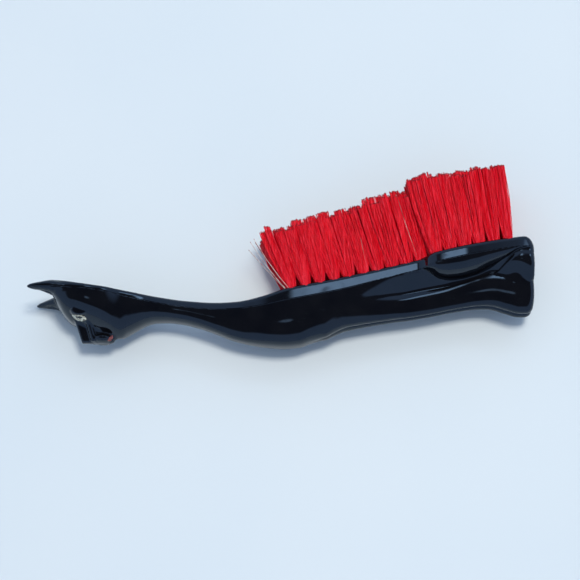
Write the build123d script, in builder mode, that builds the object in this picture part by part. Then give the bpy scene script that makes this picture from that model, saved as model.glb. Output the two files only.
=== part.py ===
from build123d import *

import math
import os

# A figural clothes brush: a long-necked seated cat in hollow moulded plastic, lying on its right
# side.  The cat's own up is -X, its face looks along -Y, its left side is +Z, and the bristles
# stand out of its back along +Y.  Everything is drawn about the cat's mid-plane z = 0 and moved
# at the end, so that the brush lies on z = 0 with its box centred on the origin.
# All lengths are in millimetres and all angles in degrees.

# ---------------------------------------------------------------- driving dimensions
LENGTH = 240.0  # tips of the ears to the flat base that the cat stands on
BASE_X = LENGTH / 2
CROWN_X = -108.5  # top of the head, between the ears
WALL = 2.2  # moulded wall of the front shell
BASE_WALL = 2.6
REACH = 80.0  # long enough to pass right through the brush
SIDES = (1, -1)  # the left and the right side of the cat
FROM_PLANE = (Align.CENTER, Align.CENTER, Align.MIN)

# Side view, as (x, y): the cat's back, and the seam between the two mouldings.
BACK_LINE = [
    (-126, -3.1), (-118.5, -1.8), (-109, -0.6), (-98, -1.0), (-80, -3.4), (-60, -6.0), (-44, -7.8),
    (-32, -8.5), (-21, -8.0), (-10, -6.0), (2, -2.1), (27, 3.3), (52, 9.2), (66, 12.7),
    (80, 16.1), (92, 18.8), (106, 21.6), (126, 24.8),
]  # fmt: skip
SEAM_LINE = [
    (-126, -4.8), (-118.5, -4.0), (-109, -3.7), (-98, -4.1), (-80, -6.0), (-60, -8.9), (-44, -10.9),
    (-32, -11.8), (-21, -11.7), (-10, -10.6), (2, -8.2), (27, -3.2), (52, 3.3), (66, 7.0),
    (80, 10.4), (92, 13.1), (106, 15.9), (126, 19.1),
]  # fmt: skip
# Back view, as (x, half-width): the outline without the ears, and the left ear as a triangle.
OUTLINE = [
    (-107.6, 6.0), (-104, 11.0), (-99, 14.4), (-92, 16.0), (-85, 14.9), (-75, 11.4), (-62, 8.0),
    (-48, 6.5), (-32, 6.4), (-18, 7.4), (-6, 9.2), (6, 9.8), (36, 9.9), (64, 10.1),
    (69, 11.0), (73, 13.8), (78, 15.9), (90, 16.2), (106, 15.5),
]  # fmt: skip
BASE_HALF_WIDTH = 13.6
EAR_TRIANGLE = [(-BASE_X, 14.2), (-107.6, 4.6), (-101.0, 14.2)]
EAR_FRONT_Y = -6.2  # the ear's front face at its root; its tip meets the seam

# Front shell, as (x, y of the front, half-width at the seam, at mid depth, near the front).
SECTIONS = [
    (CROWN_X, -6.4, 6.6, 6.2, 4.6), (-104, -11.5, 11.0, 10.4, 7.4), (-98, -16.8, 14.8, 13.8, 9.0),
    (-91, -19.8, 16.0, 14.8, 8.2), (-84, -21.4, 14.6, 12.8, 7.8), (-75, -21.0, 11.4, 10.2, 6.6),
    (-62, -17.0, 8.0, 7.4, 5.2), (-48, -16.9, 6.5, 6.0, 4.4), (-32, -21.5, 6.4, 6.6, 5.0),
    (-16, -27.0, 7.7, 8.2, 6.6), (0, -28.9, 9.5, 9.9, 8.0), (10, -27.4, 9.8, 10.2, 8.2),
    (20, -23.6, 9.9, 10.3, 8.2), (30, -18.8, 9.9, 10.0, 7.9), (42, -15.0, 9.9, 9.6, 7.5),
    (60, -12.0, 10.0, 9.2, 7.2),
    (70, -10.2, 11.4, 9.8, 7.0), (79, -8.4, 16.0, 11.6, 7.0), (92, -6.4, 16.2, 12.4, 7.2),
    (106, -6.4, 15.5, 12.4, 7.8), (BASE_X, -7.4, BASE_HALF_WIDTH, 12.0, 8.0),
]  # fmt: skip
MID_DEPTH, LOW_DEPTH = 0.42, 0.82  # shares of the depth where the last two widths are taken
SECTION_STEP = 7.0
CAVITY_FROM_X = -101.0
LAP = 2.0  # sections run this far past the seam, and are trimmed to it

# Left limbs, as (x, y of the middle, z of the middle, radius in y, radius in z).
FRONT_LEG = [
    (6, -21.6, 4.6, 4.4, 3.6), (16, -19.6, 5.1, 5.2, 4.6), (26, -16.4, 5.1, 5.0, 4.6),
    (42, -12.9, 4.9, 4.6, 4.4), (66, -9.0, 4.9, 4.6, 4.4), (86, -5.2, 5.1, 4.8, 4.6),
    (98, -3.5, 5.5, 5.4, 5.0), (108, -4.2, 6.5, 7.2, 6.0), (115, -4.4, 6.9, 8.2, 6.4),
    (BASE_X, -4.0, 6.5, 7.4, 6.0),
]  # fmt: skip
THIGH = [(70, 2.0, 6.6, 3.0, 3.0), (78, 4.0, 9.0, 6.0, 6.4), (92, 7.6, 9.4, 7.6, 6.7),
         (106, 10.4, 9.2, 6.8, 6.2), (114, 12.0, 8.8, 4.0, 4.4)]  # fmt: skip
HIND_FOOT = [(102, 11.0, 9.0, 3.6, 4.2), (109, 11.0, 9.2, 6.6, 5.9), (116, 11.4, 8.8, 7.8, 5.6),
             (BASE_X, 11.6, 8.4, 7.2, 5.0)]  # fmt: skip
# Muzzle, as (y, x towards the crown, x towards the chin, half-width), from its root to the nose.
MUZZLE = [(-14.0, -99.0, -76.0, 9.0), (-19.0, -97.2, -76.8, 7.8), (-26.8, -94.2, -80.4, 4.6)]
MOUTH_X, MOUTH_Y, MOUTH_HEIGHT, MOUTH_DEPTH = -83.4, -27.0, 1.2, 2.4

EYE_AT = (-95.5, -16.0, 9.0)
EYE_NORMAL = (-0.36, -0.62, 0.70)
EYE_RX, EYE_RY, EYE_SEAT, EYE_PROUD = 4.0, 2.9, 2.6, 1.2
PUPIL_RX, PUPIL_RY, PUPIL_THICK = 1.9, 1.3, 0.5

# Tufts: columns run across the back, rows run along it.
COLUMNS = 16
FIRST_X, LAST_X = 3.8, 107.6
WIDE_FROM_X = 72.0  # from the haunches on, a column has two more tufts
ROWS, WIDE_ROWS = 4, 6
ROW_PITCH = 4.7
HOLE_R, HOLE_DEPTH = 1.8, 4.4
TUFT_CLEARANCE = 0.04
TIP_RX, TIP_RZ = 3.2, 2.4
COLLAR = 0.8  # straight stretch above the plate, before the tuft flares
FIRST_LEAN, LAST_LEAN = -5.5, 4.0  # lean of the end columns from the plate's normal
ROW_LEAN = 1.2  # sideways lean added from one row to the next
SHORT_TUFT, MIDDLE_TUFT = 30.0, 34.4  # first and last of the narrow columns
TALL_TUFT, END_TUFT = 38.0, 36.0  # first and last of the wide columns
ANCHOR_LENGTH, ANCHOR_THICK, ANCHOR_HEIGHT, ANCHOR_RAISE = 4.4, 0.4, 1.5, 0.6

# Pegs on the inside of the back plate, in bosses that stand up inside the front shell.
PEG_X = (-26.0, 14.0, 58.0, 96.0)
PEG_R, PEG_LENGTH, PEG_SINK, PEG_CLEARANCE, BOSS_R = 1.5, 5.0, 1.0, 0.05, 3.2


# ---------------------------------------------------------------- curves
def smooth(points, x, column=1):
    """The value at x of a curve through the points that never overshoots them."""
    xs = [p[0] for p in points]
    ys = [p[column] for p in points]
    slopes = [(ys[i + 1] - ys[i]) / (xs[i + 1] - xs[i]) for i in range(len(xs) - 1)]
    bends = [0.0 if a * b <= 0 else 2 * a * b / (a + b) for a, b in zip(slopes, slopes[1:])]
    tangents = [slopes[0], *bends, slopes[-1]]
    i = max(k for k in range(len(slopes)) if xs[k] <= x or k == 0)
    step = xs[i + 1] - xs[i]
    t = (x - xs[i]) / step
    start = (1 + 2 * t) * (1 - t) ** 2 * ys[i] + t * (1 - t) ** 2 * step * tangents[i]
    end = t * t * (3 - 2 * t) * ys[i + 1] + t * t * (t - 1) * step * tangents[i + 1]
    return start + end


def stations(first, last, pitch):
    """Evenly spaced places from first to last, about one pitch apart."""
    count = max(2, round((last - first) / pitch) + 1)
    return [first + (last - first) * k / (count - 1) for k in range(count)]


# ---------------------------------------------------------------- tool solids
def behind_seam():
    """All that lies on the back plate's side of the seam."""
    first, last = SEAM_LINE[0], SEAM_LINE[-1]
    with BuildPart() as tool:
        with BuildSketch(Plane.XY):
            with BuildLine():
                Spline(*SEAM_LINE)
                Polyline(last, (last[0], REACH), (first[0], REACH), first)
            make_face()
        extrude(amount=REACH, both=True)
    return tool.part


def plate_band():
    """The slab between the seam and the cat's back, wider than the brush."""
    with BuildPart() as tool:
        with BuildSketch(Plane.XY):
            with BuildLine():
                Spline(*SEAM_LINE)
                Line(SEAM_LINE[-1], BACK_LINE[-1])
                Spline(*BACK_LINE)
                Line(BACK_LINE[0], SEAM_LINE[0])
            make_face()
        extrude(amount=REACH, both=True)
    return tool.part


def outline_prism():
    """The brush's outline from behind, ears included, drawn through along Y."""
    base_corner = (BASE_X, BASE_HALF_WIDTH)
    with BuildPart() as tool:
        with BuildSketch(Plane.XZ):
            with BuildLine():
                Spline((CROWN_X, 0), *OUTLINE, base_corner)
                Polyline(base_corner, (BASE_X, 0), (CROWN_X, 0))
            make_face()
            with BuildLine():
                Polyline(*EAR_TRIANGLE, close=True)
            make_face()
            mirror(about=Plane.XZ)
        extrude(amount=REACH, both=True)
    return tool.part


def body_form(inset, first_x, last_x):
    """The trunk and skull, all sides drawn in by inset, from one section to another."""
    with BuildPart() as tool:
        for x in stations(first_x, last_x, SECTION_STEP):
            back = smooth(SEAM_LINE, x) + LAP
            front = smooth(SECTIONS, x, 1) + inset
            wide, middle, low = (smooth(SECTIONS, x, k) - inset for k in (2, 3, 4))
            middle_y = back + (front - back) * MID_DEPTH
            low_y = back + (front - back) * LOW_DEPTH
            left = [(back, wide), (middle_y, middle), (low_y, low)]
            right = [(y, -z) for y, z in reversed(left)]
            with BuildSketch(Plane.YZ.offset(x)):
                with BuildLine():
                    Spline(*left, (front, 0), *right)
                    Line(right[-1], left[0])
                make_face()
        loft()
    return tool.part


def limb_form(rings, side):
    """A rounded limb through ellipses across X, on the side given as 1 or -1."""
    with BuildPart() as tool:
        for x, y, z, radius_y, radius_z in rings:
            with BuildSketch(Plane(origin=(x, y, side * z), x_dir=(0, 1, 0), z_dir=(1, 0, 0))):
                Ellipse(radius_y, radius_z)
        loft()
    return tool.part


def muzzle_form():
    """The wedge of the nose and chin."""
    with BuildPart() as tool:
        for y, crown_side, chin_side, half_width in MUZZLE:
            middle = ((crown_side + chin_side) / 2, y, 0)
            with BuildSketch(Plane(origin=middle, x_dir=(1, 0, 0), z_dir=(0, -1, 0))):
                RectangleRounded(chin_side - crown_side, 2 * half_width, half_width * 0.75)
        loft()
    return tool.part


def ear_form(side):
    """The front half of one ear, thick at its root and thin at its tip."""
    tip, inner_root, outer_root = ((x, side * z) for x, z in EAR_TRIANGLE)
    root_back = 0.0
    with BuildPart() as tool:
        with BuildSketch(Plane.XZ):
            with BuildLine():
                Polyline(tip, inner_root, outer_root, close=True)
            make_face()
        extrude(amount=REACH, both=True)
        with BuildSketch(Plane.XY):
            with BuildLine():
                Polyline(
                    (tip[0] - 1, smooth(SEAM_LINE, tip[0]) - 0.9),
                    (inner_root[0], EAR_FRONT_Y),
                    (outer_root[0] + 1, EAR_FRONT_Y - 1),
                    (outer_root[0] + 1, root_back),
                    (tip[0] - 1, root_back),
                    close=True,
                )
            make_face()
        extrude(amount=REACH, both=True, mode=Mode.INTERSECT)
    return tool.part


def eye_plane(side):
    """A plane on the face, its normal the way the eye looks."""
    x, y, z = EYE_AT
    nx, ny, nz = EYE_NORMAL
    return Plane(origin=(x, y, side * z), x_dir=(0.9, -0.5, 0), z_dir=(nx, ny, side * nz))


def seam_point(x):
    """The point on the mid-plane where the seam passes x."""
    return (x, smooth(SEAM_LINE, x), 0)


def cavity():
    """The hollow of the front shell, with the bosses for the pegs left standing in it."""
    inside = body_form(WALL, CAVITY_FROM_X, BASE_X - BASE_WALL)
    with BuildPart() as tool:
        add(inside)
        with Locations(*[Plane(origin=seam_point(x), z_dir=(0, -1, 0)) for x in PEG_X]):
            Cylinder(BOSS_R, REACH, mode=Mode.SUBTRACT)
    return tool.part


# ---------------------------------------------------------------- tuft places
def tuft_length(column):
    """The bristles get longer towards the base, with a step up at the haunches."""
    narrow = [x < WIDE_FROM_X for x in COLUMN_X].count(True)
    if column < narrow:
        return SHORT_TUFT + (MIDDLE_TUFT - SHORT_TUFT) * column / (narrow - 1)
    return TALL_TUFT + (END_TUFT - TALL_TUFT) * (column - narrow) / (COLUMNS - 1 - narrow)


def tuft_planes(column):
    """Planes on the back surface at each tuft of one column, normals along the tufts."""
    x = COLUMN_X[column]
    rows = WIDE_ROWS if x > WIDE_FROM_X else ROWS
    slope = smooth(BACK_LINE, x + 1) - smooth(BACK_LINE, x - 1)
    lean = FIRST_LEAN + (LAST_LEAN - FIRST_LEAN) * column / (COLUMNS - 1)
    along = math.radians(90 + math.degrees(math.atan(slope / 2)) - lean)
    planes = []
    for row in range(rows):
        place = row - (rows - 1) / 2
        across = math.radians(ROW_LEAN * place)
        normal = (math.cos(along), math.sin(along), math.tan(across))
        middle = (x, smooth(BACK_LINE, x), place * ROW_PITCH)
        planes.append(Plane(origin=middle, x_dir=(0, 0, 1), z_dir=normal))
    return planes


COLUMN_X = stations(FIRST_X, LAST_X, (LAST_X - FIRST_X) / (COLUMNS - 1))
TUFT_PLANES = [tuft_planes(column) for column in range(COLUMNS)]
ALL_TUFTS = [plane for column in TUFT_PLANES for plane in column]
ANCHOR_DEPTH = HOLE_DEPTH - ANCHOR_RAISE - ANCHOR_HEIGHT / 2  # of the anchor's middle


# ---------------------------------------------------------------- the pieces
def back_plate():
    """The moulding that is the cat's back, drilled for the tufts."""
    band = plate_band()
    prism = outline_prism()
    pegs = [Plane(origin=seam_point(x), z_dir=(0, -1, 0)).offset(-PEG_SINK) for x in PEG_X]
    with BuildPart() as plate:
        add(band)
        add(prism, mode=Mode.INTERSECT)
        with Locations(*ALL_TUFTS):
            Cylinder(HOLE_R, 2 * HOLE_DEPTH, mode=Mode.SUBTRACT)
        with Locations(*[plane.offset(-ANCHOR_DEPTH) for plane in ALL_TUFTS]):
            Box(ANCHOR_LENGTH, ANCHOR_THICK, ANCHOR_HEIGHT, mode=Mode.SUBTRACT)
        with Locations(*pegs):
            Cylinder(PEG_R, PEG_SINK + PEG_LENGTH, align=FROM_PLANE)
    return plate.part


def front_shell():
    """The hollow moulding that is the cat's face, chest, legs and feet."""
    body = body_form(0, CROWN_X, BASE_X)
    limbs = [limb_form(rings, side) for rings in (FRONT_LEG, THIGH, HIND_FOOT) for side in SIDES]
    head = [muzzle_form(), ear_form(1), ear_form(-1)]
    beyond = behind_seam()
    hollow = cavity()
    with BuildPart() as shell:
        add(body)
        add(limbs)
        add(head)
        add(beyond, mode=Mode.SUBTRACT)
        add(hollow, mode=Mode.SUBTRACT)
        with Locations(*[Plane(origin=seam_point(x), z_dir=(0, -1, 0)) for x in PEG_X]):
            Cylinder(PEG_R + PEG_CLEARANCE, 2 * (PEG_LENGTH + PEG_CLEARANCE), mode=Mode.SUBTRACT)
        for side in SIDES:
            with BuildSketch(eye_plane(side).offset(-EYE_SEAT)):
                Ellipse(EYE_RX, EYE_RY)
            extrude(amount=2 * EYE_SEAT + EYE_PROUD, mode=Mode.SUBTRACT)
        with Locations((MOUTH_X, MOUTH_Y, 0)):
            Box(MOUTH_HEIGHT, 2 * MOUTH_DEPTH, REACH, mode=Mode.SUBTRACT)
    return shell.part


def eye(side):
    """One domed eye in its socket, with a shallow seat for the pupil."""
    with BuildPart() as dome:
        with BuildSketch(eye_plane(side).offset(-EYE_SEAT)):
            Ellipse(EYE_RX, EYE_RY)
        extrude(amount=EYE_SEAT + EYE_PROUD)
        top = dome.faces().sort_by(Axis((0, 0, 0), eye_plane(side).z_dir))[-1]
        fillet(top.edges(), radius=EYE_PROUD * 0.8)
        with BuildSketch(eye_plane(side).offset(EYE_PROUD - PUPIL_THICK / 2)):
            Ellipse(PUPIL_RX, PUPIL_RY)
        extrude(amount=PUPIL_THICK, mode=Mode.SUBTRACT)
    return dome.part


def pupil(side):
    """The dark disc on one eye."""
    with BuildPart() as disc:
        with BuildSketch(eye_plane(side).offset(EYE_PROUD - PUPIL_THICK / 2)):
            Ellipse(PUPIL_RX, PUPIL_RY)
        extrude(amount=PUPIL_THICK)
    return disc.part


def tuft_column(column):
    """One column of tufts: bundles that are round in their holes and fan out above them."""
    radius = HOLE_R - TUFT_CLEARANCE
    planes = TUFT_PLANES[column]
    with BuildPart() as tufts:
        with Locations(*[plane.offset(-HOLE_DEPTH) for plane in planes]):
            Cylinder(radius, HOLE_DEPTH + COLLAR, align=FROM_PLANE)
        for plane in planes:
            with BuildSketch(plane.offset(COLLAR)):
                Circle(radius)
            with BuildSketch(plane.offset(tuft_length(column))):
                Ellipse(TIP_RZ, TIP_RX)
            loft()
        with Locations(*[plane.offset(-ANCHOR_DEPTH) for plane in planes]):
            Box(ANCHOR_LENGTH, ANCHOR_THICK, ANCHOR_HEIGHT, mode=Mode.SUBTRACT)
    return tufts.part


def anchor_column(column):
    """The flat metal anchors that hold one column of tufts, each biting into its hole's sides."""
    with BuildPart() as anchors:
        with Locations(*[plane.offset(-ANCHOR_DEPTH) for plane in TUFT_PLANES[column]]):
            Box(ANCHOR_LENGTH, ANCHOR_THICK, ANCHOR_HEIGHT)
    return anchors.part


# ---------------------------------------------------------------- assembly
PIECES = {"back_plate": back_plate(), "front_shell": front_shell()}
for side, name in zip(SIDES, ("left", "right")):
    PIECES[f"{name}_eye"] = eye(side)
    PIECES[f"{name}_pupil"] = pupil(side)
for column in range(COLUMNS):
    PIECES[f"tuft_row_{column + 1:02d}"] = tuft_column(column)
    PIECES[f"anchor_row_{column + 1:02d}"] = anchor_column(column)

whole = Compound(list(PIECES.values())).bounding_box()
PLACE = Location((-whole.center().X, -whole.center().Y, -whole.min.Z))

os.makedirs("parts", exist_ok=True)
for name, piece in PIECES.items():
    placed = piece.moved(PLACE)
    placed.label = name
    export_step(placed, f"parts/{name}.step")
print("whole", whole, "moved by", PLACE.position)
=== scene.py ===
import math

import bmesh
import bpy
import numpy as np
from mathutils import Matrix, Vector


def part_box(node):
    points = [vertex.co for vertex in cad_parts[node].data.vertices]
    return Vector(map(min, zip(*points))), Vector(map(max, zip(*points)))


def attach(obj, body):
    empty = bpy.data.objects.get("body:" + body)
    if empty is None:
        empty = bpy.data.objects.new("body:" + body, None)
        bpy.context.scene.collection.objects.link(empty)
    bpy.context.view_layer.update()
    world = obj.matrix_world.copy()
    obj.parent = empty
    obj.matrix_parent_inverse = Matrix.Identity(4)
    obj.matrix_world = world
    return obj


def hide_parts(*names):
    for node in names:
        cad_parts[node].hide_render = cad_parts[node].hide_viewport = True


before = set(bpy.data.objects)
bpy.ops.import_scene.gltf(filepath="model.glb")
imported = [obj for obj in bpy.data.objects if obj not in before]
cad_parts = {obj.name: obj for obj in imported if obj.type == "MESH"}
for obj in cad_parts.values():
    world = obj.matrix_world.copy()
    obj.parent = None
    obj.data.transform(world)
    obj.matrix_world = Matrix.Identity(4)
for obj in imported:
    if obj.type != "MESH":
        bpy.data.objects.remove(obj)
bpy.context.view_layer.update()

# A figural clothes brush: a seated, long-necked cat lying on its right side.  The cat is sculpted
# in its own measure, millimetres about its mid-plane z = 0, with its up along -X, its face along
# -Y and its left side along +Z, and then placed in the frame by the box of the CAD's back plate.
MM = 0.001
plate_low, plate_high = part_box("back_plate")
PLATE_TOP_Y = 23.95  # the cat's back at its base, the highest y of the back plate
SHIFT = np.array([
    (plate_low[0] + plate_high[0]) / 2,
    plate_high[1] - PLATE_TOP_Y * MM,
    (plate_low[2] + plate_high[2]) / 2,
])


def to_frame(points):
    """The cat's own millimetres to metres in the frame."""
    return np.asarray(points, dtype=float) * MM + SHIFT


# ---------------------------------------------------------------- camera, floor and light
VIEW_ELEVATION = math.radians(70)
VIEW_DISTANCE = 0.693
VIEW_TARGET = to_frame((3.82, 0.0, 0.0))
LENS_MM, SENSOR_MM = 90, 36
# The pale room, as tones from the horizon to overhead: (height, colour).
ROOM_TONES = [
    (0.0, (0.45, 0.60, 0.85)), (0.75, (0.42, 0.56, 0.80)),
    (0.82, (0.05, 0.06, 0.085)), (1.0, (0.035, 0.045, 0.07)),
]
# Its soft lamps, as (direction, spread, strength): beyond the brush, high on the right, overhead.
ROOM_LAMPS = [
    ((0.03, 0.56, 0.83), (0.13, 0.075, 0.075), 4.8),
    ((0.42, 0.50, 0.76), (0.11, 0.09, 0.09), 5.0),
    ((-0.04, 0.06, 1.0), (0.08, 0.06, 0.06), 1.4),
]
LAMP_COLOUR = (0.62, 0.78, 0.95)


def add_camera():
    """The main view: a long lens, well above the brush."""
    data = bpy.data.cameras.new("camera")
    data.lens = LENS_MM
    data.sensor_width = SENSOR_MM
    camera = bpy.data.objects.new("camera", data)
    bpy.context.collection.objects.link(camera)
    back = Vector((0, -math.cos(VIEW_ELEVATION), math.sin(VIEW_ELEVATION)))
    camera.location = Vector(VIEW_TARGET) + back * VIEW_DISTANCE
    camera.rotation_euler = (math.pi / 2 - VIEW_ELEVATION, 0, 0)
    bpy.context.scene.camera = camera
    bpy.context.scene.view_settings.view_transform = "Standard"


def add_soft_light(name, place, size, power, colour):
    """A square soft box aimed at the brush, kept out of the gloss, whose glints come from the room."""
    data = bpy.data.lights.new(name, "AREA")
    data.size = size
    data.energy = power
    data.color = colour
    light = bpy.data.objects.new(name, data)
    bpy.context.collection.objects.link(light)
    light.location = place
    light.rotation_euler = Vector(place).to_track_quat("Z", "Y").to_euler()
    light.visible_glossy = False


def room_part(nodes, links, source, *stops):
    """A background whose colour is a ramp over source."""
    background = nodes.new("ShaderNodeBackground")
    links.new(ramp(nodes, links, source, *stops), background.inputs["Color"])
    return background


def add_world():
    """A pale room, bright near the horizon and dark overhead, with its lamps up high."""
    world = bpy.data.worlds.new("world")
    world.use_nodes = True
    bpy.context.scene.world = world
    nodes, links = world.node_tree.nodes, world.node_tree.links
    nodes.clear()
    where = nodes.new("ShaderNodeTexCoord")
    split = nodes.new("ShaderNodeSeparateXYZ")
    links.new(where.outputs["Generated"], split.inputs[0])
    total = room_part(nodes, links, split.outputs["Z"], *ROOM_TONES)
    for direction, spread, strength in ROOM_LAMPS:
        mapping = nodes.new("ShaderNodeMapping")
        mapping.inputs["Location"].default_value = [-d / w for d, w in zip(direction, spread)]
        mapping.inputs["Scale"].default_value = [1 / w for w in spread]
        glow = nodes.new("ShaderNodeTexGradient")
        glow.gradient_type = "SPHERICAL"
        links.new(where.outputs["Generated"], mapping.inputs["Vector"])
        links.new(mapping.outputs["Vector"], glow.inputs["Vector"])
        lamp = room_part(nodes, links, glow.outputs["Fac"], (0.0, 0.0), (0.5, LAMP_COLOUR))
        lamp.inputs["Strength"].default_value = strength
        both = nodes.new("ShaderNodeAddShader")
        links.new(total.outputs[0], both.inputs[0])
        links.new(lamp.outputs[0], both.inputs[1])
        total = both
    output = nodes.new("ShaderNodeOutputWorld")
    links.new(total.outputs[0], output.inputs["Surface"])


# ---------------------------------------------------------------- materials
def new_material(name, colour, roughness, **sockets):
    """A Principled material, and its nodes, links and shader for what is added to it."""
    material = bpy.data.materials.new(name)
    material.use_nodes = True
    nodes, links = material.node_tree.nodes, material.node_tree.links
    shader = nodes["Principled BSDF"]
    shader.inputs["Base Color"].default_value = (*colour, 1)
    shader.inputs["Roughness"].default_value = roughness
    for socket, value in sockets.items():
        shader.inputs[socket.replace("_", " ")].default_value = value
    return material, nodes, links, shader


def noise(nodes, links, scale, detail=2.0, stretch=(1, 1, 1)):
    """Noise in the object's own space, scale in features per metre."""
    where = nodes.new("ShaderNodeTexCoord")
    mapping = nodes.new("ShaderNodeMapping")
    mapping.inputs["Scale"].default_value = stretch
    texture = nodes.new("ShaderNodeTexNoise")
    texture.inputs["Scale"].default_value = scale
    texture.inputs["Detail"].default_value = detail
    links.new(where.outputs["Object"], mapping.inputs["Vector"])
    links.new(mapping.outputs["Vector"], texture.inputs["Vector"])
    return texture.outputs["Fac"]


def ramp(nodes, links, source, *stops):
    """A colour ramp over source, its stops as (place, colour or grey)."""
    node = nodes.new("ShaderNodeValToRGB")
    elements = node.color_ramp.elements
    while len(elements) < len(stops):
        elements.new(0.5)
    for element, (place, colour) in zip(elements, stops):
        element.position = place
        element.color = (*(colour if isinstance(colour, tuple) else (colour,) * 3), 1)
    links.new(source, node.inputs[0])
    return node.outputs[0]


def bump(nodes, links, shader, height, strength, distance):
    """A fine unevenness of the surface, distance in metres."""
    node = nodes.new("ShaderNodeBump")
    node.inputs["Strength"].default_value = strength
    node.inputs["Distance"].default_value = distance
    links.new(height, node.inputs["Height"])
    links.new(node.outputs["Normal"], shader.inputs["Normal"])


def black_plastic():
    """Polished moulded polystyrene: a faint flow in the surface and a little handling wear."""
    material, nodes, links, shader = new_material("black_plastic", (0.003, 0.003, 0.004), 0.07)
    shader.inputs["IOR"].default_value = 1.56
    shader.inputs["Specular Tint"].default_value = (0.60, 0.78, 1.0, 1)
    wear = noise(nodes, links, 260, detail=6)
    links.new(ramp(nodes, links, wear, (0.35, 0.045), (0.62, 0.085), (0.80, 0.17)),
              shader.inputs["Roughness"])
    tone = noise(nodes, links, 90, detail=3)
    links.new(ramp(nodes, links, tone, (0.3, (0.002, 0.002, 0.003)), (0.7, (0.004, 0.004, 0.005))),
              shader.inputs["Base Color"])
    bump(nodes, links, shader, noise(nodes, links, 120, detail=1), 0.08, 0.0003)
    return material


def red_nylon():
    """Drawn filament: each strand has its own depth of red along its whole length."""
    material, nodes, links, shader = new_material("red_nylon", (0.72, 0.010, 0.022), 0.42)
    shader.inputs["IOR"].default_value = 1.40
    shader.inputs["Subsurface Weight"].default_value = 0.35
    shader.inputs["Subsurface Radius"].default_value = (0.0016, 0.0003, 0.0003)
    shader.inputs["Subsurface Scale"].default_value = 1.0
    strand = noise(nodes, links, 1500, detail=1, stretch=(1, 0.03, 1))
    links.new(ramp(nodes, links, strand, (0.28, (0.60, 0.0010, 0.007)), (0.5, (0.80, 0.003, 0.015)),
                   (0.74, (0.95, 0.034, 0.055))), shader.inputs["Base Color"])
    return material


def dark_nylon_tip_shade():
    """Painted shade for the cut ends of the filaments, and the own colour of the one dark stray filament.
    """
    material, nodes, links, shader = new_material("dark_nylon_tip_shade", (0.30, 0.008, 0.014), 0.6)
    tone = noise(nodes, links, 1500, detail=1)
    links.new(ramp(nodes, links, tone, (0.35, (0.16, 0.004, 0.008)), (0.65, (0.42, 0.012, 0.020))),
              shader.inputs["Base Color"])
    return material


def pale_nylon_and_highlight():
    """The few undyed stray filaments, and the pale strands in the tufts that paint bright highlight
    streaks.
    """
    material, nodes, links, shader = new_material("pale_nylon_and_highlight", (0.62, 0.52, 0.44), 0.3)
    tone = noise(nodes, links, 700, stretch=(1, 0.1, 1))
    links.new(ramp(nodes, links, tone, (0.35, (0.40, 0.22, 0.18)), (0.65, (0.72, 0.66, 0.60))),
              shader.inputs["Base Color"])
    return material


def pearl_white():
    """The paint of the eyes, mottled and a little rough."""
    material, nodes, links, shader = new_material("pearl_white", (0.60, 0.59, 0.50), 0.22)
    tone = noise(nodes, links, 900, detail=4)
    links.new(ramp(nodes, links, tone, (0.38, (0.12, 0.11, 0.09)), (0.54, (0.50, 0.49, 0.38)),
                   (0.70, (0.72, 0.72, 0.60))), shader.inputs["Base Color"])
    bump(nodes, links, shader, tone, 0.25, 0.0002)
    return material


def red_enamel():
    """The worn paint of the mouth."""
    material, nodes, links, shader = new_material("red_enamel", (0.30, 0.05, 0.045), 0.3)
    tone = noise(nodes, links, 1200, detail=4)
    links.new(ramp(nodes, links, tone, (0.38, (0.07, 0.02, 0.02)), (0.6, (0.24, 0.055, 0.05))),
              shader.inputs["Base Color"])
    return material


def drawn_wire():
    """The metal of the anchors that pin the tufts."""
    material, nodes, links, shader = new_material("drawn_wire", (0.62, 0.61, 0.58), 0.3, Metallic=1.0)
    lines = noise(nodes, links, 3000, stretch=(1, 1, 0.05))
    links.new(ramp(nodes, links, lines, (0.3, 0.22), (0.7, 0.42)), shader.inputs["Roughness"])
    return material


def pale_cloth():
    """The ground that the brush lies on."""
    material, nodes, links, shader = new_material("pale_cloth", (0.62, 0.68, 0.71), 0.9)
    tone = noise(nodes, links, 6, detail=2)
    links.new(ramp(nodes, links, tone, (0.3, (0.605, 0.67, 0.705)), (0.7, (0.635, 0.69, 0.715))),
              shader.inputs["Base Color"])
    return material


# ---------------------------------------------------------------- curves
def curve(points):
    """A smooth curve through the points that never overshoots them, as a function of x."""
    xs, ys = np.array(points, dtype=float).T
    slopes = np.diff(ys) / np.diff(xs)
    product = slopes[:-1] * slopes[1:]
    total = slopes[:-1] + slopes[1:]
    inner = np.where(product > 0, 2 * product / np.where(product > 0, total, 1), 0)
    tangents = np.concatenate([slopes[:1], inner, slopes[-1:]])

    def value(x):
        i = np.clip(np.searchsorted(xs, x, side="right") - 1, 0, len(slopes) - 1)
        step = xs[i + 1] - xs[i]
        t = np.clip((x - xs[i]) / step, 0, 1)
        start = (1 + 2 * t) * (1 - t) ** 2 * ys[i] + t * (1 - t) ** 2 * step * tangents[i]
        end = t * t * (3 - 2 * t) * ys[i + 1] + t * t * (t - 1) * step * tangents[i + 1]
        return start + end

    return value


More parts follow.
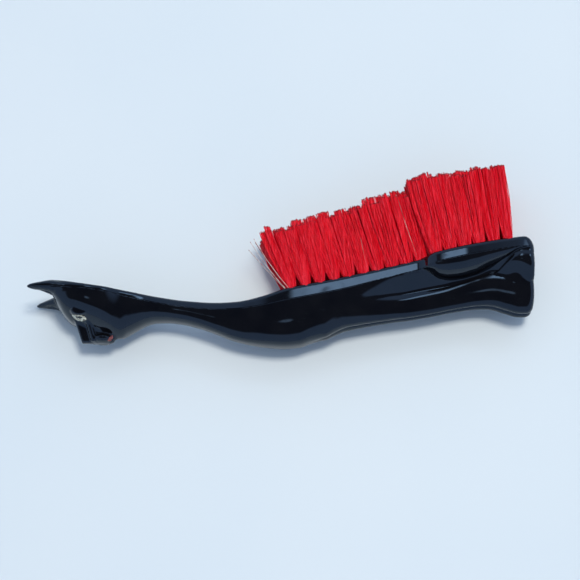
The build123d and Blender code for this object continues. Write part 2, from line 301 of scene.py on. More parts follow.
# Side view, as (x, y): the cat's back, and the seam between the two mouldings.
back_line = curve([
    (-126, -2.7), (-118.5, -1.2), (-109, 0.1), (-101, -0.5), (-95, -1.5), (-88, -2.4), (-80, -3.1),
    (-60, -5.2), (-44, -7.1), (-32, -7.8), (-21, -7.5), (-10, -5.6), (2, -1.7), (27, 3.5),
    (52, 9.3), (66, 12.7), (80, 16.1), (92, 18.8), (106, 21.6), (126, 24.8),
])  # fmt: skip
seam_line = curve([
    (-126, -4.8), (-118.5, -4.0), (-109, -3.7), (-98, -4.1), (-80, -6.0), (-60, -8.9), (-44, -10.9),
    (-32, -11.8), (-21, -11.7), (-10, -10.6), (2, -8.2), (27, -3.2), (52, 3.3), (66, 7.0),
    (80, 10.4), (92, 13.1), (106, 15.9), (126, 19.1),
])  # fmt: skip
# Back view, as (x, half-width), of the mouldings at the seam, and of the wide haunch.
trunk_width = curve([
    (-112, 8.0), (-109.5, 10.6), (-107, 12.6), (-103.5, 14.3), (-99, 15.4), (-93, 15.9), (-86, 15.2),
    (-75, 11.4), (-62, 8.0), (-48, 6.5), (-32, 6.4), (-18, 7.4), (-6, 9.2), (6, 9.8), (36, 9.9),
    (66, 10.0), (80, 10.4), (98, 10.8), (108, 12.4), (121, 13.0),
])  # fmt: skip
haunch_width = curve([
    (50, 8.4), (60, 8.8), (64.5, 9.7), (67, 11.2), (70, 14.1), (73, 15.7), (80, 16.1), (86, 16.1),
    (92, 15.8), (100, 15.2), (108, 14.5), (114, 13.9), (121, 12.8),
])  # fmt: skip
# The trunk, neck and skull: swelling below the seam, front line, and squareness of the section.
trunk_bulge = curve([(-70, 0.0), (-30, 0.01), (0, 0.03), (20, 0.02), (34, 0.0)])
trunk_power = curve([
    (-112, 2.5), (-96, 2.6), (-80, 2.5), (-60, 2.5), (-36, 2.8), (0, 3.1), (20, 2.8), (28, 2.3),
    (36, 1.7), (44, 1.3), (54, 1.12), (66, 1.12), (90, 1.3), (121, 1.8),
])  # fmt: skip
trunk_front = curve([
    (-112, -3.6), (-109.5, -4.4), (-107.8, -6.6), (-105.6, -10.4), (-102.4, -14.6), (-99.5, -17.0),
    (-97, -18.2), (-92, -20.4), (-87, -21.8), (-82, -23.4), (-78.5, -24.7), (-76, -24.4),
    (-72, -22.2), (-68, -19.8), (-64, -17.6), (-60, -16.4), (-55, -16.2), (-48, -16.9), (-40, -18.8),
    (-32, -21.6), (-23, -25.2), (-15, -27.2), (-7, -28.4), (1, -28.9), (8, -28.3), (14, -26.2),
    (20, -23.4), (26, -19.4), (32, -16.6), (36, -15.2), (41, -13.2), (48, -11.0), (56, -9.0),
    (62, -7.6), (70, -5.8), (76, -4.3), (84, -1.7), (92, 1.4), (100, 3.8), (121, 5.0),
])  # fmt: skip
# The thigh's depth below the seam, and how far the mouldings lean in per millimetre above it.
thigh_depth = curve([
    (64.5, 0.05), (67, 0.9), (70, 3.0), (74.6, 6.4), (80.3, 8.0), (86.4, 8.5), (92.2, 8.2),
    (98, 6.9), (104.2, 5.4), (109, 3.8), (111.4, 2.2), (115, 1.4), (121, 1.2),
])  # fmt: skip
draft = curve([(-112, 0.0), (-72, 0.02), (-58, 0.26), (-26, 0.26), (-14, 0.12), (121, 0.12)])

# Limbs of the left side, as rings of (x, y, z, radius in y, radius in z).
FRONT_LEG = [
    (8, -12.0, 1.0, 13.4, 6.0), (14, -11.0, 1.4, 14.6, 7.6), (20, -9.8, 2.0, 14.7, 7.6),
    (26, -8.7, 2.8, 12.9, 6.6), (30, -8.3, 2.9, 11.6, 6.0), (36, -8.4, 2.8, 10.2, 5.2),
    (41, -8.7, 2.6, 9.0, 4.6), (48, -9.1, 2.4, 7.4, 3.9), (56, -8.7, 2.3, 6.6, 3.4),
    (66, -6.9, 2.3, 6.9, 3.1), (77, -4.5, 2.3, 7.1, 3.0), (85, -2.1, 2.4, 8.0, 3.2),
    (93, 0.2, 2.5, 9.2, 3.7), (100, 1.2, 2.6, 10.4, 4.3), (106, 0.5, 2.7, 11.6, 4.7),
    (112, -0.4, 2.7, 12.4, 5.0), (121, -0.8, 2.7, 11.9, 4.8),
]  # fmt: skip
HIND_FOOT = [
    (100, 4.8, 6.0, 0.3, 0.6), (102.5, 5.2, 6.2, 1.8, 2.2), (106.7, 7.6, 6.6, 5.4, 4.8),
    (110.4, 10.4, 6.8, 9.0, 6.2), (114, 11.4, 6.8, 10.2, 6.6), (121, 11.6, 6.6, 10.0, 6.6),
]  # fmt: skip
EAR = [
    (-119.2, -3.3, 14.3, 0.35, 0.4), (-118.3, -3.2, 14.15, 0.9, 1.1), (-116, -3.0, 13.6, 1.5, 2.2),
    (-113, -2.8, 12.7, 2.1, 3.4), (-110, -2.7, 11.7, 2.9, 4.4), (-107, -2.9, 10.6, 3.6, 5.4),
    (-103, -3.1, 9.4, 3.4, 6.3), (-96, -3.9, 8.6, 2.6, 6.2),
]  # fmt: skip


# ---------------------------------------------------------------- the cat as a distance field
HEAD_END = -60  # everything of the head lies below this x
HAUNCH_START, THIGH_POWER = 58, 2.2
CROWN_X, CROWN_SOFT = -109.2, 4.0
# The rump between the feet, and the hollow of an ear, as middle and radii.
RUMP = (111.4, 4.6, 0), (6.9, 6.0, 8.6)
EAR_HOLLOW = (-112.0, -8.2, 11.6), (5.5, 4.2, 2.5)
# How softly forms meet: legs, haunch, feet, ears and their hollows; and how round the plate's rim
# and the base are.
LEG_JOIN, HAUNCH_JOIN, FOOT_JOIN, EAR_JOIN, EAR_RIM = 1.2, 0.6, 0.8, 1.2, 0.6
BACK_ROUND, BASE_ROUND = 2.2, 3.2
# Guards against dividing by nothing: how near its axis the field of a limb or lobe is followed, as
# a share of its radius, and the least half width and steepness of a lobe.
LIMB_CORE, LOBE_CORE, LEAST_WIDTH, LEAST_STEEPNESS = 0.01, 0.02, 0.01, 1e-6
# The base, 0.1 inside the CAD's, bows away towards the back, above a height, and towards the front.
BASE_X, BASE_BACK_Y, BASE_BACK_BOW, BASE_FRONT_BOW = 119.9, 16.5, 0.05, 0.01


def join(a, b, soft):
    """Union of two forms, with a fillet of about soft."""
    h = np.clip(0.5 + 0.5 * (b - a) / soft, 0, 1)
    return b + (a - b) * h - soft * h * (1 - h)


def cut(a, b, soft):
    """What two forms have in common, with its edge rounded by about soft."""
    return -join(-a, -b, soft)


def limb(rings, x, y, z):
    """A limb with elliptical rings across X, on both sides of the cat."""
    xs = [ring[0] for ring in rings]
    middle_y, middle_z, radius_y, radius_z = (
        curve([(ring[0], ring[k]) for ring in rings])(x) for k in range(1, 5)
    )
    across, up = (y - middle_y) / radius_y, (z - middle_z) / radius_z
    reach = np.maximum(np.hypot(across, up), LIMB_CORE)
    side = (reach - 1) * reach / np.hypot(across / radius_y, up / radius_z)
    return np.maximum(side, np.maximum(xs[0] - x, x - xs[-1]))


def lobe(x, y, z, width, depth, power):
    """A form hung from the seam: upright walls above it, a superellipse of width and depth below."""
    t = np.clip((seam_line(x) - y) / depth, 0, None)
    width = np.maximum(width, LEAST_WIDTH)
    u = z / width
    a, b = u ** (power - 1), t ** (power - 1)
    q = np.maximum((a * u + b * t) ** (1 / power), LOBE_CORE)
    return (q - 1) * q ** (power - 1) / np.maximum(np.hypot(a / width, b / depth), LEAST_STEEPNESS)


def ellipsoid(x, y, z, middle, radii):
    """An ellipsoid along the axes."""
    q = np.sqrt(((x - middle[0]) / radii[0]) ** 2 + ((y - middle[1]) / radii[1]) ** 2
                + ((z - middle[2]) / radii[2]) ** 2)
    return (q - 1) * min(radii)


def rib(x, y, z, start, end, radius):
    """A round bar between two points."""
    axis = np.subtract(end, start)
    along = ((x - start[0]) * axis[0] + (y - start[1]) * axis[1] + (z - start[2]) * axis[2]) / (axis @ axis)
    share = np.clip(along, 0, 1)
    away = [w - low - share * step for w, low, step in zip((x, y, z), start, axis)]
    return np.sqrt(away[0] ** 2 + away[1] ** 2 + away[2] ** 2) - radius


def trunk(x, y, z):
    """Skull, neck, chest and flanks: a flat-backed section that swells towards the front."""
    seam, front = seam_line(x), trunk_front(x)
    t = np.clip((seam - y) / (seam - front), 0, 1)
    swell = 1 + trunk_bulge(x) * np.sin(math.pi * t)
    width = trunk_width(x) * swell - draft(x) * np.maximum(y - seam, 0)
    return lobe(x, y, z, width, seam - front, trunk_power(x))


def haunch(x, y, z):
    """The wide end of the back plate with the thigh below it."""
    width = haunch_width(x) - draft(x) * np.maximum(y - seam_line(x), 0)
    return np.maximum(lobe(x, y, z, width, thigh_depth(x), THIGH_POWER), HAUNCH_START - x)


# The muzzle's flats: bridge of the nose, front, chin and sides, and where it starts; and the plane
# of the eyes.
BRIDGE_TOP, BRIDGE_SLOPE = np.array([-97.2, -17.8]), 0.335
MUZZLE_FRONT, MUZZLE_CHIN, MUZZLE_SIDE, MUZZLE_TAPER, MUZZLE_ROOT = -26.9, -78.4, 1.4, 0.44, -12
BRIDGE_STEEPNESS, SIDE_STEEPNESS = 0.95, 0.92  # turn offsets along an axis into distances
EYE_AT, EYE_LONG = np.array([-95.1, -16.8, 8.4]), np.array([7.3, -2.2, 0.0])
EYE_NORMAL = np.array([-0.20, -0.83, 0.52])
# The upper lid and the whisker pad, as middle and radii, and the lid's flat top.
LID = (-94.5, -13.9, 9.8), (4.8, 2.8, 3.9)
LID_TOP_AT, LID_TOP_NORMAL = (-94.5, -14.4, 12.5), (0.0, -0.2, 0.98)
WHISKER_PAD = (-84.4, -24.9, 1.6), (4.4, 2.2, 3.3)
# The ridge from the eye to the nose, and the grooves under the nose and of the mouth, as two ends
# and a radius.
NOSE_RIDGE = (-90.9, -17.6, 6.0), (-88.6, -25.4, 2.2), 1.4
NOSE_GROOVE = (-88.3, -28.3, 0.0), (-88.6, -27.9, 5.5), 1.3
MOUTH_GROOVE = (-81.7, -28.0, 0.0), (-79.6, -26.6, 5.2), 0.9
# How softly the face's forms meet: at the cheek and lid, along the edges of the muzzle, where the
# muzzle and its details leave the head, and in the grooves.
CHEEK_SOFT, LID_SOFT, NOSE_EDGE, BRIDGE_EDGE, CHIN_EDGE = 2.4, 0.25, 0.6, 0.9, 3.0
MUZZLE_JOIN, DETAIL_JOIN, GROOVE_SOFT = 1.2, 0.8, 0.5
# The hind foot's sole side: a flat facet through a point, with its outward normal.
FACET_AT, FACET_NORMAL = (110.4, 10.4, 12.6), (-0.22, -0.58, 0.785)


def beyond(x, y, z, at, normal):
    """How far places lie outside the plane through a point."""
    return sum((w - low) * n for w, low, n in zip((x, y, z), at, normal))


def face(x, y, z, head):
    """The flat of the cheek, upper lid, muzzle, nose, whisker pad and mouth, worked into the head."""
    head = cut(head, beyond(x, y, z, EYE_AT, EYE_NORMAL), CHEEK_SOFT)
    lid = cut(ellipsoid(x, y, z, *LID), beyond(x, y, z, LID_TOP_AT, LID_TOP_NORMAL), LID_SOFT)
    head = join(head, lid, LID_SOFT)
    side = (z - MUZZLE_SIDE - MUZZLE_TAPER * (y - MUZZLE_FRONT)) * SIDE_STEEPNESS
    bridge = (BRIDGE_TOP[0] + BRIDGE_SLOPE * (BRIDGE_TOP[1] - y) - x) * BRIDGE_STEEPNESS
    muzzle = cut(side, cut(bridge, MUZZLE_FRONT - y, NOSE_EDGE), BRIDGE_EDGE)
    muzzle = cut(muzzle, x - MUZZLE_CHIN, CHIN_EDGE)
    muzzle = np.maximum(muzzle, y - MUZZLE_ROOT)
    head = join(head, muzzle, MUZZLE_JOIN)
    head = join(head, rib(x, y, z, *NOSE_RIDGE), DETAIL_JOIN)
    head = join(head, ellipsoid(x, y, z, *WHISKER_PAD), DETAIL_JOIN)
    head = cut(head, -rib(x, y, z, *NOSE_GROOVE), GROOVE_SOFT)
    return cut(head, -rib(x, y, z, *MOUTH_GROOVE), GROOVE_SOFT)


def hind_foot(x, y, z):
    """The hind foot, flattened on its sole side."""
    return cut(limb(HIND_FOOT, x, y, z), beyond(x, y, z, FACET_AT, FACET_NORMAL), FOOT_JOIN)


def cat(x, y, z):
    """Negative inside the brush's body, mouldings together."""
    z = np.abs(z)
    form = trunk(x, y, z)
    if np.max(x) > 0:
        form = join(form, limb(FRONT_LEG, x, y, z), LEG_JOIN)
        form = join(form, haunch(x, y, z), HAUNCH_JOIN)
        form = join(form, ellipsoid(x, y, z, *RUMP), LEG_JOIN)
        form = join(form, hind_foot(x, y, z), FOOT_JOIN)
    if np.min(x) < HEAD_END:
        form = cut(form, CROWN_X - x, CROWN_SOFT)
        form = face(x, y, z, form)
    form = cut(form, y - back_line(x), BACK_ROUND)
    if np.min(x) < HEAD_END:
        ear = cut(limb(EAR, x, y, z), -ellipsoid(x, y, z, *EAR_HOLLOW), EAR_RIM)
        form = join(form, ear, EAR_JOIN)
    back_bow = BASE_BACK_BOW * np.maximum(y - BASE_BACK_Y, 0) ** 2
    front_bow = BASE_FRONT_BOW * np.maximum(-y, 0) ** 2
    return cut(form, x - (BASE_X - back_bow - front_bow), BASE_ROUND)


# ---------------------------------------------------------------- field to mesh
def surface(field, xs, ys, zs):
    """A quad mesh of the field's zero level on a grid, one point per crossed cell."""
    values = np.concatenate([
        field(part[:, None, None], ys[None, :, None], zs[None, None, :])
        for part in (xs[xs < HEAD_END], xs[(xs >= HEAD_END) & (xs < 0)], xs[xs >= 0])
    ])
    inside = values < 0
    shape = tuple(n - 1 for n in values.shape)
    total, count = np.zeros(shape + (3,)), np.zeros(shape)
    corners = [(i, j, k) for i in (0, 1) for j in (0, 1) for k in (0, 1)]

    def at(array, corner):
        return array[tuple(slice(c, c + n) for c, n in zip(corner, shape))]

    for start in corners:
        for axis in range(3):
            if start[axis]:
                continue
            end = tuple(c + (a == axis) for a, c in enumerate(start))
            low, high = at(values, start), at(values, end)
            crossed = (low < 0) != (high < 0)
            share = np.where(crossed, low / np.where(crossed, low - high, 1), 0)
            count += crossed
            for a in range(3):
                total[..., a] += crossed * (start[a] + (share if a == axis else 0))
    active = count > 0
    index = np.full(shape, -1)
    index[active] = np.arange(active.sum())
    cells = np.argwhere(active)
    places = cells + total[active] / count[active][:, None]
    grids = enumerate((xs, ys, zs))
    points = np.stack([np.interp(places[:, a], np.arange(len(grid)), grid) for a, grid in grids], 1)
    quads = []
    for a, b, c in ((0, 1, 2), (1, 2, 0), (2, 0, 1)):
        low = np.moveaxis(inside, (a, b, c), (0, 1, 2))
        cell = np.moveaxis(index, (a, b, c), (0, 1, 2))
        low, high = low[:-1, 1:-1, 1:-1], low[1:, 1:-1, 1:-1]
        for leaving in (True, False):
            i, j, k = np.nonzero((low == leaving) & (high != leaving))
            ring = [cell[i, j, k], cell[i, j + 1, k], cell[i, j + 1, k + 1], cell[i, j, k + 1]]
            quads.append(np.stack(ring if leaving else ring[::-1], 1))
    return points, np.concatenate(quads)


def slope(field, points, step=0.02):
    """The field and its gradient at the points."""
    here = field(*points.T)
    ahead = [field(*(points + step * unit).T) for unit in np.eye(3)]
    return here, np.stack([(value - here) / step for value in ahead], 1)


LONGEST_PULL, LEAST_SLOPE = 0.6, 0.05


def settle(field, points, quads, rounds=6):
    """Even out the mesh and pull its points exactly onto the surface."""
    edges = np.concatenate([quads[:, [k, (k + 1) % 4]] for k in range(4)])
    neighbours = np.bincount(edges[:, 0], minlength=len(points))
    for turn in range(rounds + 2):
        if turn < rounds:
            sums = [np.bincount(edges[:, 0], points[edges[:, 1], a], len(points)) for a in range(3)]
            points = points + 0.5 * (np.stack(sums, 1) / neighbours[:, None] - points)
        here, gradient = slope(field, points)
        size = np.maximum((gradient ** 2).sum(1), LEAST_SLOPE)
        points = points - np.clip(here / size, -LONGEST_PULL, LONGEST_PULL)[:, None] * gradient
    return points


def graded(low, high, steps):
    """Grid places from low to high whose spacing follows steps, as (place, spacing)."""
    spacing = curve(steps)
    places = [low]
    while places[-1] < high:
        places.append(places[-1] + float(spacing(places[-1])))
    return np.array(places)


# ---------------------------------------------------------------- meshes to pieces
def new_piece(name, mesh, material, slot, *nodes):
    """An object that rides on the root body, takes the finish given and replaces CAD nodes; its slot is not
    used.
    """
    piece = bpy.data.objects.new(name, mesh)
    bpy.context.collection.objects.link(piece)
    mesh.materials.append(material)
    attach(piece, "root")
    if nodes:
        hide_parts(*nodes)
    return piece


def mesh_from(name, points, faces):
    """A checked mesh of the points and faces."""
    mesh = bpy.data.meshes.new(name)
    mesh.from_pydata(points.tolist(), [], faces.tolist())
    mesh.validate()
    return mesh


GROOVE_REACH, GROOVE_DEPTH = 0.30, 0.13  # of the fine groove along the seam
ON_SEAM = 1e-4  # how far from the seam a point may be and still lie on it
SHARP = math.radians(38)
LEAST_NORMAL = 0.3  # shorter gradients aren't stretched to full length
ON_SKIN = 0.05  # how far the field may be from zero on the skin


def give_exact_normals(mesh):
    """Shade the skin by the slope of the form itself, except at the groove and the closing face."""
    count, corners = len(mesh.vertices), len(mesh.loops)
    points, owner = np.empty(count * 3), np.empty(corners, dtype=int)
    mesh.vertices.foreach_get("co", points)
    mesh.loops.foreach_get("vertex_index", owner)
    places = (points.reshape(-1, 3) - SHIFT) / MM
    here, normals = slope(cat, places)
    normals /= np.maximum(np.linalg.norm(normals, axis=1), LEAST_NORMAL)[:, None]
    near_seam = np.abs(places[:, 1] - seam_line(places[:, 0])) < GROOVE_REACH - 0.01
    normals[near_seam | (np.abs(here) > ON_SKIN)] = 0
    mesh.normals_split_custom_set(normals[owner])


def moulding(name, points, quads, side):
    """One moulding: the cat on one side of the seam, closed there, with a fine edge groove."""
    flat = points.copy()
    flat[:, 1] -= seam_line(points[:, 0])
    source = mesh_from(name, flat, quads)
    shape = bmesh.new()
    shape.from_mesh(source)
    bpy.data.meshes.remove(source)
    for level, discard in ((side * GROOVE_REACH, False), (0.0, True)):
        bmesh.ops.bisect_plane(
            shape, geom=shape.verts[:] + shape.edges[:] + shape.faces[:], dist=1e-5,
            plane_co=(0, level, 0), plane_no=(0, -side, 0), clear_outer=discard,
        )
    rim = [edge for edge in shape.edges if edge.is_boundary]
    bmesh.ops.triangle_fill(shape, use_beauty=True, use_dissolve=False, edges=rim)
    rim_points = [vert for vert in shape.verts if abs(vert.co.y) < ON_SEAM]
    for vert in shape.verts:
        vert.co.y += float(seam_line(vert.co.x))
    places = np.array([vert.co for vert in rim_points])
    _, gradient = slope(cat, places)
    gradient[:, 1] = 0
    gradient /= np.maximum(np.linalg.norm(gradient, axis=1), LEAST_NORMAL)[:, None]
    for vert, place in zip(rim_points, places - GROOVE_DEPTH * gradient):
        vert.co = place
    for vert in shape.verts:
        vert.co = to_frame(vert.co)
    bmesh.ops.recalc_face_normals(shape, faces=shape.faces[:])
    for skin_face in shape.faces:
        skin_face.smooth = True
    for edge in shape.edges:
        edge.smooth = edge.is_manifold and edge.calc_face_angle(0) < SHARP
    mesh = bpy.data.meshes.new(name)
    shape.to_mesh(mesh)
    shape.free()
    give_exact_normals(mesh)
    return mesh


# ---------------------------------------------------------------- tufts
COLUMNS = 16  # across the plate, each of several tufts
FIRST_X, LAST_X = 4.4, 107.6
WIDE_FROM_X = 72.0
ROWS, WIDE_ROWS, ROW_PITCH = 4, 6, 4.7
FIRST_LEAN, LAST_LEAN, ROW_LEAN = -5.5, 4.0, 1.2  # degrees, the last for each row off the middle
SHORT_TUFT, MIDDLE_TUFT, TALL_TUFT, END_TUFT = 30.0, 34.4, 38.0, 36.0
ROOT_DEPTH, ROOT_RZ, TIP_RZ = 2.0, 2.1, 3.0
STRANDS, STRAND_R, STRAND_SIDES = 200, 0.19, 4
LOWEST_Z = -16.2  # strands that would reach below it lie on the ground
rng = np.random.default_rng(7)
column_x = np.linspace(FIRST_X, LAST_X, COLUMNS)
narrow = int((column_x < WIDE_FROM_X).sum())
# Half widths along the plate, by column: snug at the root in the middle of the field, and fanned
# less at the tip towards the base.
root_rx = np.interp(range(COLUMNS), (3, 7, COLUMNS - 2, COLUMNS - 1), (2.1, 2.9, 2.8, 2.1))
tip_rx = np.interp(range(COLUMNS), (narrow, COLUMNS - 1), (5.5, 3.4))


def tuft_length(column):
    """Tufts grow longer along the narrow field, step up at the wide one and fall off there."""
    if column < narrow:
        return SHORT_TUFT + (MIDDLE_TUFT - SHORT_TUFT) * column / (narrow - 1)
    return TALL_TUFT + (END_TUFT - TALL_TUFT) * (column - narrow) / (COLUMNS - 1 - narrow)


def tuft_frames(column):
    """Root and three directions of each tuft in a column: along the plate, across it, and up."""
    x = column_x[column]
    rows = WIDE_ROWS if column >= narrow else ROWS
    rise = (back_line(x + 1) - back_line(x - 1)) / 2
    lean = math.radians(FIRST_LEAN + (LAST_LEAN - FIRST_LEAN) * column / (COLUMNS - 1))
    along = math.pi / 2 + math.atan(rise) - lean
    for row in range(rows):
        place = row - (rows - 1) / 2
        up = np.array([math.cos(along), math.sin(along), math.tan(math.radians(ROW_LEAN * place))])
        up /= np.linalg.norm(up)
        across = np.cross(up, [math.sin(along), -math.cos(along), 0])
        yield np.array([x, back_line(x), place * ROW_PITCH]), np.cross(across, up), across, up


# Shares of a strand's length where it has a ring of points; the last step is its cut end, painted darker as
# shade.
STRAND_RINGS = np.array([0.0, 0.22, 0.60, 0.984, 1.0])
BOW = 3  # how strongly sag bends the middle of a strand


def strand_tubes(roots, tips, sag, radius):
    """Closed thin tubes from roots to tips, bowed by sag, and which faces of a tube are its cut end, which
    take painted shade.
    """
    count, sides, rings = len(roots), STRAND_SIDES, len(STRAND_RINGS)
    share = STRAND_RINGS[None, :, None]
    bow = sag[:, None] * (share * (1 - share) * BOW)
    spine = roots[:, None] + (tips - roots)[:, None] * share + bow
    axis = (tips - roots) / np.linalg.norm(tips - roots, axis=1)[:, None]
    first = np.cross(axis, [0.0, 0.0, 1.0])
    first /= np.linalg.norm(first, axis=1)[:, None]
    second = np.cross(axis, first)
    turn = np.arange(sides) * 2 * math.pi / sides + rng.uniform(0, math.pi, (count, 1))
    ring = np.cos(turn)[..., None] * first[:, None] + np.sin(turn)[..., None] * second[:, None]
    points = (spine[:, :, None] + radius * ring[:, None]).reshape(-1, 3)
    base = np.arange(count)[:, None, None] * rings * sides
    level = np.arange(rings - 1)[None, :, None] * sides
    k = np.arange(sides)[None, None]
    after = (k + 1) % sides
    walls = np.stack([base + level + k, base + level + after, base + level + sides + after,
                      base + level + sides + k], -1)
    low_cap = (base[:, 0] + k[0])[:, None, None, ::-1]
    high_cap = (base[:, 0] + (rings - 1) * sides + k[0])[:, None, None]
    faces = np.concatenate([walls.reshape(count, -1, 4), low_cap[:, 0], high_cap[:, 0]], 1)
    # the cut end's faces, to be painted darker as shade
    tip_shade_faces = np.zeros(faces.shape[1], dtype=bool)
    tip_shade_faces[(rings - 2) * sides:(rings - 1) * sides] = tip_shade_faces[-1] = True
    return points, faces, tip_shade_faces


PALE_HIGHLIGHT_SHARE = 0.004  # of the strands are pale: a painted highlight for bright streaks of lit filaments
ODD_SHARE, ODD_CUT = 0.05, 1.5  # of the strands are cut short, and by about how much
# A tuft's strands stand in clumps, each with its own length and lean.
CLUMPS, CLUMP_REACH, CLUMP_CUT, CLUMP_LEAN = 9, 0.8, 1.3, 0.5
# How unevenly columns, tufts and strands are cut, and how far tips stray.
COLUMN_CUT, TUFT_CUT, STRAND_CUT, TIP_SCATTER = 0.3, 0.4, 0.12, 0.25
# How square a tuft's tip is, how early it fans out, and how much single strands bow.
SQUARENESS, FAN, BOW_ALONG, BOW_ACROSS = 0.22, 0.26, 0.38, 0.3


def tuft_strands(root, along, across, up, length, root_rx, tip_rx):
    """Roots, tips and sag of one tuft, whose strands stand in clumps cut to slightly different lengths."""
    angle = rng.uniform(0, 2 * math.pi, STRANDS)
    reach = np.sqrt(rng.uniform(0, 1, STRANDS))
    a, b = reach * np.cos(angle), reach * np.sin(angle)
    inner_a, inner_b = root_rx - STRAND_R, ROOT_RZ - STRAND_R
    low = root - ROOT_DEPTH * up + (a * inner_a)[:, None] * along + (b * inner_b)[:, None] * across
    middles = rng.uniform(-CLUMP_REACH, CLUMP_REACH, (CLUMPS, 2))
    clump = np.argmin((a[:, None] - middles[:, 0]) ** 2 + (b[:, None] - middles[:, 1]) ** 2, axis=1)
    cut_to, lean = rng.normal(0, CLUMP_CUT, CLUMPS), rng.normal(0, CLUMP_LEAN, (CLUMPS, 2))
    odd = rng.uniform(0, 1, STRANDS) < ODD_SHARE
    tall = length + rng.normal(0, TUFT_CUT) + cut_to[clump] + rng.normal(0, STRAND_CUT, STRANDS)
    tall = tall - odd * np.abs(rng.normal(0, ODD_CUT, STRANDS))
    squared = 1 + SQUARENESS * np.sin(2 * angle) ** 2
    spread_a = a * squared * tip_rx + lean[clump, 0] + rng.normal(0, TIP_SCATTER, STRANDS)
    spread_b = b * squared * TIP_RZ + lean[clump, 1] + rng.normal(0, TIP_SCATTER, STRANDS)
    spread = spread_a[:, None] * along + spread_b[:, None] * across
    high = root + tall[:, None] * up + spread
    sag = FAN * spread + rng.normal(0, BOW_ALONG, (STRANDS, 1)) * along
    sag = sag + rng.normal(0, BOW_ACROSS, (STRANDS, 1)) * across
    return low, high, sag


def bristle_mesh(name, roots, tips, sag, radius, pale):
    """Strands as one mesh: coloured, with painted shade on their cut ends, or pale."""
    points, faces, tip_shade_faces = strand_tubes(roots, tips, sag, radius)
    points[:, 2] = np.maximum(points[:, 2], LOWEST_Z)
    # material 1 paints shade on the cut ends
    look = np.where(pale[:, None], 2, np.where(tip_shade_faces, 1, 0)[None])
    mesh = bpy.data.meshes.new(name)
    mesh.from_pydata(to_frame(points).tolist(), [], faces.reshape(-1, 4).tolist())
    mesh.polygons.foreach_set("material_index", look.ravel().astype(np.int32))
    return mesh


def tuft_column(name, column):
    """All the strands of a column's tufts."""
    length = tuft_length(column) + rng.normal(0, COLUMN_CUT)
    widths = root_rx[column], tip_rx[column]
    strands = [tuft_strands(*tuft, length, *widths) for tuft in tuft_frames(column)]
    roots, tips, sag = (np.concatenate(part) for part in zip(*strands))
    # a few strands are made pale, as painted highlight streaks
    pale = rng.uniform(0, 1, len(roots)) < PALE_HIGHLIGHT_SHARE
    return bristle_mesh(name, roots, tips, sag, STRAND_R, pale)


# Filaments that stand apart from the tufts, as root, tip and sag, each (x, y, z), and radius.
PALE_STRAYS = [
    ((2.2, -2.6, 7.0), (-15.2, 21.0, 9.5), (-0.8, -0.6, 0), 0.15),
    ((2.4, -2.6, 6.0), (-15.9, 17.4, 8.0), (0.5, -1.2, 0), 0.15),
    ((3.2, -2.0, 8.4), (-13.4, 22.2, 10.2), (-0.9, -0.6, 0), 0.14),
    ((108.8, 22.4, 9.0), (108.0, 54.0, 12.0), (0.8, 0, 0), 0.12),
]
DARK_STRAYS = [((2.6, -2.4, 7.4), (-12.7, 21.0, 9.0), (-0.4, -0.4, 0), 0.22)]


def stray_mesh(name, strays):
    """Single strands, each of its own thickness, all of one colour but for the painted shade on their cut
    ends.
    """
    roots, tips, sag, radii = (np.array(part) for part in zip(*strays))
    pale = np.zeros(len(strays), dtype=bool)
    return bristle_mesh(name, roots, tips, sag, radii[:, None, None, None], pale)


# ---------------------------------------------------------------- paint
PAINT_SINK = 0.3  # how far a patch reaches into the body


def on_surface(start, normal, reach=4.0, steps=60):
    """The first place where the body is met, going from reach outside start against normal."""
    shares = np.linspace(reach, -reach, steps)
    lines = start[:, None] + shares[None, :, None] * normal
    values = cat(*lines.reshape(-1, 3).T).reshape(lines.shape[:2])
    first = np.argmax(values < 0, axis=1)
    rows = np.arange(len(start))
    outer, inner = values[rows, first - 1], values[rows, first]
    depth = shares[first - 1] + (shares[first] - shares[first - 1]) * outer / (outer - inner)
    return start + depth[:, None] * normal


def paint_patch(middle, long_way, normal, outline, lift, dome=0.0, rings=9):
    """A thin closed patch laid on the body, its outline as offsets along and across long_way."""
    normal = normal / np.linalg.norm(normal)
    long_way = long_way - (long_way @ normal) * normal
    long_way = long_way / np.linalg.norm(long_way)
    wide_way = np.cross(normal, long_way)
    share = np.linspace(1 / rings, 1, rings)[:, None, None]
    flat = np.concatenate([np.zeros((1, 2)), (share * outline[None]).reshape(-1, 2)])
    bulge = np.concatenate([[1.0], np.repeat(1 - share.ravel() ** 2, len(outline))])
    laid = on_surface(middle + flat[:, :1] * long_way + flat[:, 1:] * wide_way, normal)
    top = laid + (lift + dome * bulge)[:, None] * normal
    points = np.concatenate([top, laid - PAINT_SINK * normal])
    count, around = len(top), len(outline)
    faces = []
    for k in range(around):
        after = (k + 1) % around
        faces.append([0, 1 + k, 1 + after])
        for ring in range(rings - 1):
            low, high = 1 + ring * around, 1 + (ring + 1) * around
            faces.append([low + k, high + k, high + after, low + after])
        last = 1 + (rings - 1) * around
        faces.append([last + k, count + last + k, count + last + after, last + after])
    faces += [[count + corner for corner in face[::-1]] for face in faces if max(face) < count]
    return points, faces


def mirrored(points, faces):
    """The same patch on the cat's right side."""
    return points * [1, 1, -1], [face[::-1] for face in faces]


OUTLINE_POINTS, LID_POWER = 48, 1.25


def almond(length, height, wobble=0.0):
    """Outline of an eye: half-length, half-height, with a hand-painted unevenness."""
    turn = np.arange(OUTLINE_POINTS) * 2 * math.pi / OUTLINE_POINTS
    uneven = 1 + wobble * np.sin(3 * turn + 1) + wobble * np.sin(5 * turn)
    lid = np.sign(np.sin(turn)) * np.abs(np.sin(turn)) ** LID_POWER
    return np.stack([length * np.cos(turn), height * lid], 1) * uneven[:, None]


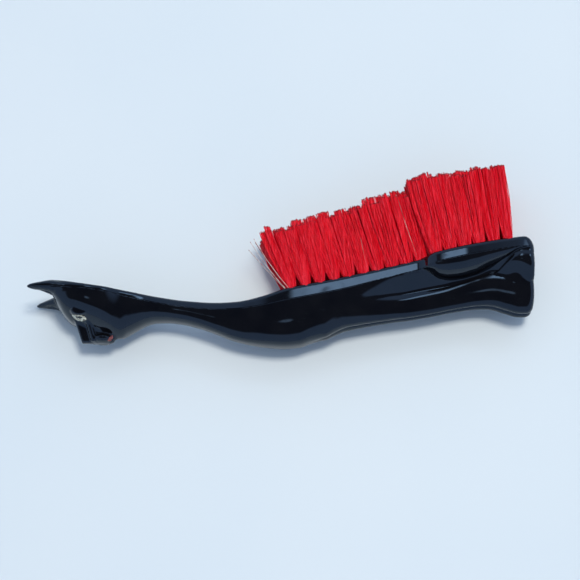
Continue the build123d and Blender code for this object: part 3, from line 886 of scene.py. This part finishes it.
def paint_piece(name, patch, material, slot, side, *nodes):
    """A patch of paint as a piece, on the left for side 1 and on the right for side -1."""
    points, faces = patch if side > 0 else mirrored(*patch)
    mesh = bpy.data.meshes.new(name)
    mesh.from_pydata(to_frame(points).tolist(), [], faces)
    mesh.polygons.foreach_set("use_smooth", [True] * len(mesh.polygons))
    return new_piece(name, mesh, material, slot, *nodes)


# ---------------------------------------------------------------- build
black, red = black_plastic(), red_nylon()

# The grid goes a little past the cat on every side, and is finest along the head.
grid_x = graded(-123.0, 122.0, [
    (-124, 0.40), (-76, 0.40), (-62, 0.7), (60, 0.8), (90, 0.65), (124, 0.55),
])  # fmt: skip
grid_y = np.arange(-30.5, 27.0, 0.5)
grid_z = np.arange(-17.6, 17.61, 0.55)
points, quads = surface(cat, grid_x, grid_y, grid_z)
points = settle(cat, points, quads)

new_piece("front_shell", moulding("front_shell", points, quads, -1), black, "body", "front_shell")
new_piece("back_plate", moulding("back_plate", points, quads, 1), black, "body", "back_plate")

dark_red_and_tip_shade, pale = dark_nylon_tip_shade(), pale_nylon_and_highlight()
for column in range(COLUMNS):
    name = f"bristles_{column + 1:02d}"
    tufts = new_piece(name, tuft_column(name, column), red, "bristle", f"tuft_row_{column + 1:02d}")
    # the second slot paints shade on the strands' cut ends
    tufts.data.materials.append(dark_red_and_tip_shade)
    # the third slot is pale, a painted highlight among the tufts
    tufts.data.materials.append(pale)
for name, strays, material in (
    ("stray_pale", PALE_STRAYS, pale),
    ("stray_dark", DARK_STRAYS, dark_red_and_tip_shade),
):
    stray = new_piece(name, stray_mesh(name, strays), material, "bristle")
    # the second slot paints shade on the strays' cut ends
    stray.data.materials.append(dark_red_and_tip_shade)

white, pupil_black, enamel, wire = pearl_white(), black_plastic(), red_enamel(), drawn_wire()
eye_white = paint_patch(
    EYE_AT, EYE_LONG, EYE_NORMAL, almond(3.6, 2.4, wobble=0.02), lift=0.06, dome=0.22,
)
pupil_at = EYE_AT + [0.2, 0.9, 0]
pupil_spot = paint_patch(
    pupil_at, EYE_LONG, EYE_NORMAL, almond(1.7, 0.85, wobble=0.04), lift=0.31,
)
mouth_at, mouth_long = np.array([-80.6, -25.6, 3.0]), np.array([1.9, 2.6, 0.0])
mouth_normal = np.array([0.1, -0.6, 0.79])
mouth_spot = paint_patch(
    mouth_at, mouth_long, mouth_normal, almond(1.7, 0.9, wobble=0.06), lift=0.05,
)
for side, sign in (("left", 1), ("right", -1)):
    paint_piece(f"{side}_eye_white", eye_white, white, "eye", sign, f"{side}_eye")
    paint_piece(f"{side}_eye_pupil", pupil_spot, pupil_black, "pupil", sign, f"{side}_pupil")
    paint_piece(f"{side}_mouth_paint", mouth_spot, enamel, "mouth", sign)
for node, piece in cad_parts.items():
    if "anchor" in node:
        piece.material_slots[0].material = wire

FLOOR_SIZE = 3.0
bpy.ops.mesh.primitive_plane_add(size=FLOOR_SIZE, location=(0, 0, 0))
floor = bpy.context.object
floor.name = "floor"
floor.data.materials.append(pale_cloth())

add_camera()
add_world()
add_soft_light("key", (0.22, 0.02, 1.60), size=0.30, power=17, colour=(1.0, 0.955, 0.875))
add_soft_light("ceiling", (-0.10, 0.20, 1.70), size=2.2, power=9, colour=(0.97, 0.985, 1.0))
